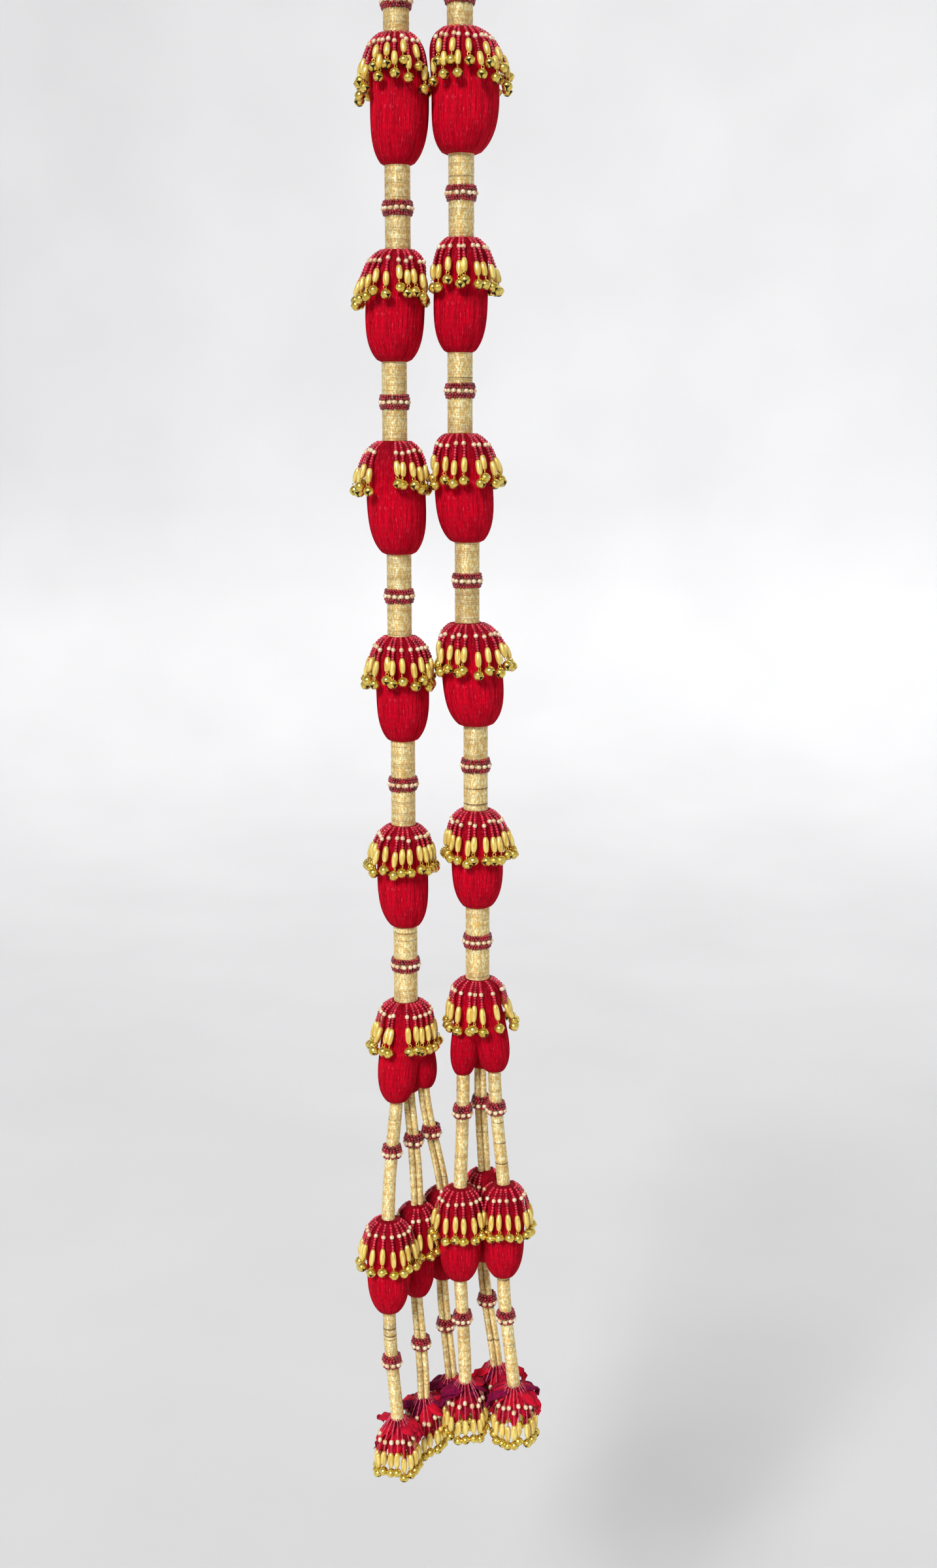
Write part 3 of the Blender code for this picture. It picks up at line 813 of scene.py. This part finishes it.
for side in SIDES:
    outward = -1 if side == "left" else 1
    for number in range(1, 7):
        rng = np.random.default_rng(400 + 10 * number + len(side))
        axis = joint_at(f"{side}_neck_{number}")
        if number < 6:
            top, height, girth, middle = bulb_line(side, number)

            def silk_at(depth):
                share = min(depth / height, 1)
                return [(middle(share)[0] - axis.x, 0, girth * bulb_outline(share))]

        else:
            lines = [lobe_line(f"{side}_drop_{lobe}") for lobe in (1, 2, 3)]

            def silk_at(depth):
                circles = [(0, 0, CROWN_RADIUS * bulb_outline(min(depth / CROWN_HEIGHT, 1)))]
                for top, height, girth, middle in lines:
                    share = min(max((depth - LOBE_START) / height, 0), 1)
                    mid_x, mid_y = middle(share)
                    circles.append((mid_x - axis.x, mid_y, girth * bulb_outline(share)))
                return circles

        pair = [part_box(f"{which}_bulb_{number}") for which in SIDES]
        divide = (pair[0][1][0] + pair[1][0][0]) / 2
        bell = (2.6 + 0.05 * number) * MM

        def fall(turn, i):
            longer = UNEVEN[number - 1] * (-1) ** i
            at_side = SKIRT_SIDE_DROP[side][number - 1] * abs(np.sin(turn)) ** 3
            return (SKIRT_FALL[side][number - 1] + longer + at_side) * MM

        def room(turn):
            facing = -outward * np.sin(turn)
            return (abs(divide - axis.x) - bell * 0.8) / facing if facing > 0.1 else 1.0

        plan = {
            "sizes": ((1.7 * MM, (3.3 + 0.22 * number) * MM), bell),
            "count": STRINGS[side][number - 1],
            "partings": PARTINGS.get(f"{side}_{number}", ()),
            "fall": fall,
            "clear": lambda turn: (2.6 + 1.5 * max(0, outward * np.sin(turn))) * MM,
            "room": room,
            "blocked": lambda place: False,
            "start": STEM_RADIUS + 0.5 * MM,
        }
        make_skirt(f"{side}_skirt_{number}", f"{side}_bulb_{number}", axis, silk_at, plan, rng)
        if number < 6:
            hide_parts(f"{side}_skirt_{number}")


# ---------------------------------------------------------------- the drops: thin stems, rings, small bulbs
# From each lobe hangs a thinner branch of the same work: a zari-wound stem with a small bead ring, a small
# silk bulb with its own skirt, and a second wound stem. The hind ones are three wound cords side by side.

DROPS = [f"{side}_drop_{number}" for side in SIDES for number in (1, 2, 3)]
HIND_DROPS = ("left_drop_2", "left_drop_3", "right_drop_2")
THIN_RADIUS = 3.6 * MM
CORD_RADIUS = 1.75 * MM
THIN_RING_SHARE = {"left": (0.43, 0.47), "right": (0.33, 0.38)}  # of the stem over and under the bulb
THIN_SEED, THIN_CREAM = (0.95 * MM, 0.85 * MM), (1.35 * MM, 1.35 * MM)  # radius and half length
THIN_RED_SPACING, THIN_CREAM_SPACING = 2.1, 2.5
SMALL_STRINGS = 17
SMALL_FALL = 27.8 * MM
THIN_ROWS = ((3.0, 0.5, RED), (1.6, 0.9, RED), (0.3, 1.15, RED), (-1.4, 1.3, CREAM), (-3.0, 0.7, RED))


def small_bulb(drop):
    """A small bulb's neck joint, height and largest radius."""
    top, foot = joint_at(f"{drop}_neck"), joint_at(f"{drop}_waist")
    low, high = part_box(f"{drop}_bulb")
    return top, top.z - foot.z, (high[0] - low[0]) / 2


for drop in DROPS:
    side = drop.split("_")[0]
    cords = 3 if drop in HIND_DROPS else 1
    runs = (("stem", "swing", "neck"), ("tail", "waist", "tip"))
    for (part, above, below), ring_share in zip(runs, THIN_RING_SHARE[side]):
        rng = np.random.default_rng(500 + 7 * DROPS.index(drop) + len(part))
        top, bottom = joint_at(f"{drop}_{above}"), joint_at(f"{drop}_{below}")
        bow = rng.uniform(-0.7, 0.7) * MM

        def thin_line(share, turn=0.0, off=0.0):
            swung = 0.5 * share + 0.5 * eased(share)
            x = top.x + (bottom.x - top.x) * swung + bow * np.sin(pi * share)
            y = top.y + (bottom.y - top.y) * swung
            lay = turn + 0.9 * share
            return x + off * np.sin(lay), y - off * np.cos(lay)

        def thin_girth(share):
            radius = THIN_RADIUS if cords == 1 else CORD_RADIUS
            return radius * (1 + 0.02 * np.sin(9 * share + bow / MM))

        windings = []
        for cord in range(cords):
            turn, off = tau * cord / 3 + 0.5, 0.0 if cords == 1 else THIN_RADIUS - CORD_RADIUS + 0.2 * MM
            windings.append(
                wind(
                    f"{drop}_{part}_winding", top.z + STEM_SUNK, bottom.z - STEM_SUNK, thin_girth,
                    lambda share: thin_line(share, turn, off), 14,
                )
            )
        winding = join(f"{drop}_{part}_winding", windings)
        fit(winding, f"{drop}_{part}", [zari], [f"{drop}_{part}"])
        ring_x, ring_y = thin_line(np.array(ring_share))
        ring_z = top.z + (bottom.z - top.z) * ring_share
        beads = []
        for rise, out, mark in THIN_ROWS:
            size = THIN_CREAM if mark == CREAM else THIN_SEED
            spacing = THIN_CREAM_SPACING if mark == CREAM else THIN_RED_SPACING
            count = round(tau * (THIN_RADIUS + out * MM) / (spacing * size[1]))
            row = (float(ring_x), float(ring_y), ring_z + rise * MM)
            beads += row_of_beads(row, THIN_RADIUS + out * MM, count, size, mark, rng, 0.2 * MM)
        ring = strung(f"{drop}_{part}_ring", beads)
        fit(ring, f"{drop}_{part}", [garnet_glass, cream_glass])

    rng = np.random.default_rng(600 + DROPS.index(drop))
    neck, height, girth = small_bulb(drop)

    def upright(share):
        return neck.x + 0 * share, neck.y + 0 * share

    bulb = silk_body(f"{drop}_silk", neck.z, height, girth, upright, rng, threads=72, down=40)
    fit(bulb, f"{drop}_bulb", [silk], [f"{drop}_bulb"])

    def small_silk_at(depth):
        return [(0, 0, girth * bulb_outline(min(depth / height, 1)))]

    others = [small_bulb(other) for other in DROPS if other != drop]

    def crowded(place):
        """True where a bell would be inside another drop's bulb."""
        own = np.hypot(place[0] - neck.x, place[1] - neck.y) - girth
        for other_neck, other_height, other_girth in others:
            apart = np.hypot(place[0] - other_neck.x, place[1] - other_neck.y) - other_girth
            if other_neck.z - other_height < place[2] < other_neck.z and apart < min(own, -0.5 * MM):
                return True
        return False

    plan = {
        "sizes": ((1.6 * MM, 4.7 * MM), 2.75 * MM),
        "count": SMALL_STRINGS,
        "partings": (),
        "fall": lambda turn, i: SMALL_FALL,
        "clear": lambda turn: 2.8 * MM,
        "room": lambda turn: 1.0,
        "blocked": crowded,
        "start": THIN_RADIUS + 0.8 * MM,
    }
    make_skirt(f"{drop}_skirt", f"{drop}_bulb", neck, small_silk_at, plan, rng)


# ---------------------------------------------------------------- the flowers
# Each drop ends in a flower: a strip of red cloth cut into points and gathered round the end of the stem,
# with a fringe of thin red strings over it, each with a cream bead, a rice bead and a small bell.

HANGING_PETALS = 9
SPREAD_PETALS = 12
PETAL_THICKNESS = 0.45 * MM
PURPLE_SHARE = 0.25  # of the spread petals
FRINGE_STRINGS = 18
FRINGE_THREAD = 0.33 * MM
FRINGE_CREAM = (1.3 * MM, 1.45 * MM)  # radius and half length
FRINGE_RICE = (1.75 * MM, 4.4 * MM)
FRINGE_BELL = (2.55 * MM, 2.55 * MM)
BELL_DROP = 12 * MM  # from the top of the rice bead to the bell's middle
FLOWER_DEPTHS = np.array([0, 3, 7, 11, 16, 24, 45]) * MM  # under the stem's end
FLOWER_REACH = np.array([3.6, 5.6, 8.3, 10.2, 11.0, 11.5, 11.8]) * MM  # of the fringe, out from its middle
SPREAD_FROM, SPREAD_TO = 62, 298  # degrees round from the front

cloth = Look("red_petal_cloth", {"Roughness": 0.8, "Specular IOR Level": 0.2})
weave = cloth.noise("Object", (1500, 1500, 1500), 2, 0.35, 0.65)
dye = cloth.noise("Object", (130, 130, 130), 2, 0.4, 0.65)
dyed = cloth.mix(dye, srgb(224, 0, 44), srgb(150, 0, 42))
cloth.feed(
    {
        "Base Color": cloth.mix(weave * 0.35, dyed, srgb(120, 0, 34)),
        "Normal": cloth.bump(weave, 0.2 * MM, 0.7),
    }
)
dark_cloth = Look("purple_petal_cloth", {"Roughness": 0.85, "Specular IOR Level": 0.15})
dark_weave = dark_cloth.noise("Object", (700, 700, 700), 3, 0.35, 0.65)
dark_cloth.feed({"Base Color": dark_cloth.mix(dark_weave, srgb(84, 0, 46), srgb(142, 0, 62))})
fringe_thread = Look("red_fringe_thread", {"Roughness": 0.6, "Sheen Weight": 0.3})
ply = fringe_thread.noise("Object", (1200, 1200, 600), 2, 0.35, 0.65)
fringe_thread.feed({"Base Color": fringe_thread.mix(ply, srgb(172, 24, 54), srgb(222, 70, 100))})

rod_ball = ball("rod", 5, 4)
shape(rod_ball, lambda share, turn: (
    np.sin(pi * share) ** 0.3 * np.sin(turn), -np.sin(pi * share) ** 0.3 * np.cos(turn), np.cos(pi * share)))
ROD = pattern(rod_ball)


def petal(tip, turn, width, length, flare, rng):
    """One cut point of the cloth: it springs from the stem's end, arches out and droops. flare lifts it."""
    bpy.ops.object.select_all(action="DESELECT")
    bpy.ops.mesh.primitive_grid_add(x_subdivisions=8, y_subdivisions=12, size=2)
    piece = bpy.context.object
    x, y, z = points_of(piece).T
    share = (y + 1) / 2
    half = width * (0.25 + 0.75 * np.sin(pi * np.clip(share * 0.9 + 0.08, 0, 1)) ** 0.8) * (1 - share**5)
    out = 1.4 * MM + length * (0.27 + 0.55 * flare) * np.sin(share * pi / 2 * (0.9 + 0.2 * flare))
    drop = length * (1.02 - 0.9 * flare) * share ** (1.25 + flare)
    crumple = 1.1 * np.sin(7 * share + 4 * x + turn * 5) + 0.8 * np.sin(15 * share - 6 * x + turn * 9)
    radial = out - x * x * 1.4 * MM * np.sin(pi * share) + crumple * MM * share
    side = x * half
    angle = turn + rng.uniform(-0.06, 0.06)
    wave = (0.9 + 1.8 * flare) * np.sin(5 * x + 6 * share + turn) * share * MM
    root = (1.8 + np.minimum(1, share * 12)) * MM  # clear of the stem's end when the flower tips
    points = (
        tip.x + radial * np.sin(angle) + side * np.cos(angle),
        tip.y - radial * np.cos(angle) + side * np.sin(angle),
        tip.z - root - drop + wave,
    )
    move_points(piece, np.stack(points, axis=1))
    return piece


for drop in DROPS:
    rng = np.random.default_rng(700 + DROPS.index(drop))
    tip = joint_at(f"{drop}_tip")
    petals, marks = [], []
    for i in range(HANGING_PETALS):
        turn = tau * (i + rng.uniform(-0.25, 0.25)) / HANGING_PETALS
        width, length = rng.uniform(3.4, 4.4) * MM, rng.uniform(20, 23) * MM
        petals.append(petal(tip, turn, width, length, rng.uniform(0, 0.16), rng))
        marks.append(0)
    for i in range(SPREAD_PETALS):  # the cloth's free points, at the sides and behind
        turn = radians(SPREAD_FROM + (SPREAD_TO - SPREAD_FROM) * (i + rng.uniform(0.1, 0.9)) / SPREAD_PETALS)
        width, length = rng.uniform(5.0, 7.2) * MM, rng.uniform(18, 25) * MM
        petals.append(petal(tip, turn, width, length, rng.uniform(0.1, 0.8), rng))
        marks.append(int(rng.random() < PURPLE_SHARE))
    faces_each = len(petals[0].data.polygons)
    flower = join(f"{drop}_petals", petals)
    flower.data.polygons.foreach_set("material_index", np.repeat(marks, faces_each))
    thick = flower.modifiers.new("cloth", "SOLIDIFY")
    thick.thickness = PETAL_THICKNESS
    thick.offset = 0
    bpy.ops.object.modifier_apply(modifier="cloth")
    fit(flower, f"{drop}_flower", [cloth, dark_cloth], [f"{drop}_flower"])

    strings, ends = [], []
    for i in range(FRINGE_STRINGS):
        turn = tau * (i + rng.uniform(-0.2, 0.2)) / FRINGE_STRINGS
        depth = np.arange(0, 46, 0.5) * MM
        out = np.interp(depth, FLOWER_DEPTHS, FLOWER_REACH) + rng.uniform(-0.5, 0.7) * MM
        swing = turn + rng.uniform(-0.08, 0.08) * depth / (30 * MM)
        line = (tip.x + out * np.sin(swing), tip.y - out * np.cos(swing), tip.z + 0.4 * MM - depth)
        route = np.stack(line, axis=1)
        cream_at = rng.uniform(11, 14.5) * MM
        rice_at = rng.uniform(17.8, 22.2) * MM
        for start, end in ((0, cream_at), (cream_at, rice_at)):
            for step in np.linspace(start, end, 6)[:-1]:
                span = (end - start) / 5
                place, way = along(route, np.array(step + span / 2))
                strings.append((ROD, place, -way, (FRINGE_THREAD, span * 0.56), RED, 0))
        place, way = along(route, np.array(cream_at))
        strings.append((SEED, place, -way, FRINGE_CREAM, CREAM, 0))
        place, way = along(route, np.array(rice_at + FRINGE_RICE[1]))
        ends.append((RICE, place, -way, FRINGE_RICE, SATIN, 0))
        place, way = along(route, np.array(rice_at + BELL_DROP))
        hang = (rng.uniform(-0.3, 0.3), rng.uniform(-0.3, 0.3), 1)
        ends.append((BELL, place, hang, FRINGE_BELL, BRASS, rng.uniform(0, 3)))
    fit(strung(f"{drop}_fringe", strings), f"{drop}_flower", [fringe_thread, cream_glass])
    fit(strung(f"{drop}_fringe_bells", ends), f"{drop}_flower", [satin_gold, brass, painted_slit_shade])


# ---------------------------------------------------------------- the studio
# A plain pale floor that curves up into a wall all round, far from the object, soft light from the front
# and above on the left, weaker light from the right and from behind, and the camera.

FLOOR_Z = -1.15
FLOOR_RADIUS = 3.4
WALL_TOP = 1.6
WALL_FOOT = 0.5  # how far up the floor has curved where the wall begins
WALL_RISE = 2.6

bpy.ops.object.select_all(action="DESELECT")
bpy.ops.mesh.primitive_uv_sphere_add(segments=96, ring_count=48, radius=1)
floor = bpy.context.object
floor.name = "studio_floor"
x, y, z = points_of(floor).T
reach = np.hypot(x, y)
level = np.where(z < 0, 0, z)
spread = np.where(z < 0, FLOOR_RADIUS * np.clip(np.arccos(-z) / (pi / 2), 0, 1) ** 0.8, FLOOR_RADIUS)
curve = WALL_FOOT * np.clip(np.arccos(-z) / (pi / 2), 0, 1) ** 8
rise = np.where(z < 0, curve, WALL_FOOT + level * WALL_RISE)
safe = np.maximum(reach, 1e-6)
move_points(floor, np.stack([x / safe * spread, y / safe * spread, FLOOR_Z + rise], axis=1))
bpy.ops.object.mode_set(mode="EDIT")
bpy.ops.mesh.select_all(action="SELECT")
bpy.ops.mesh.bisect(plane_co=(0, 0, WALL_TOP), plane_no=(0, 0, 1), clear_outer=True)
bpy.ops.mesh.select_all(action="SELECT")
bpy.ops.mesh.flip_normals()
bpy.ops.object.mode_set(mode="OBJECT")
floor.data.shade_smooth()
floor.visible_shadow = False  # the wall keeps no light from the object
plaster = Look("studio_paint", {"Roughness": 0.9})
mottle = plaster.noise("Object", (3, 3, 3), 2, 0.3, 0.7)
plaster.feed({"Base Color": plaster.mix(mottle, srgb(214, 214, 215), srgb(220, 220, 221))})
floor.data.materials.append(plaster.material)

for name, strength, softness, aim in (
    ("key_light", 3.0, 18, (52, 0, -24)),
    ("fill_light", 0.25, 60, (60, 0, 50)),
    ("back_light", 0.6, 50, (45, 0, 165)),
):
    bpy.ops.object.light_add(type="SUN", rotation=[radians(angle) for angle in aim])
    light = bpy.context.object
    light.name = name
    light.data.energy = strength
    light.data.angle = radians(softness)

world = bpy.data.worlds.new("studio_air")
bpy.context.scene.world = world
world.use_nodes = True
world.node_tree.nodes["Background"].inputs["Color"].default_value = (1.0, 0.99, 0.97, 1.0)
world.node_tree.nodes["Background"].inputs["Strength"].default_value = 0.14
bpy.context.scene.view_settings.view_transform = "Standard"

CAMERA_PITCH = 11.33  # degrees, looking down
CAMERA_PLACE = (0.0198, -0.929, -0.2964)
bpy.ops.object.camera_add(location=CAMERA_PLACE, rotation=(radians(90 - CAMERA_PITCH), 0, 0))
camera = bpy.context.object
camera.name = "front_camera"
camera.data.sensor_fit = "VERTICAL"
camera.data.sensor_height = 24
camera.data.lens = 27.27
camera.data.clip_start = 0.01
bpy.context.scene.camera = camera
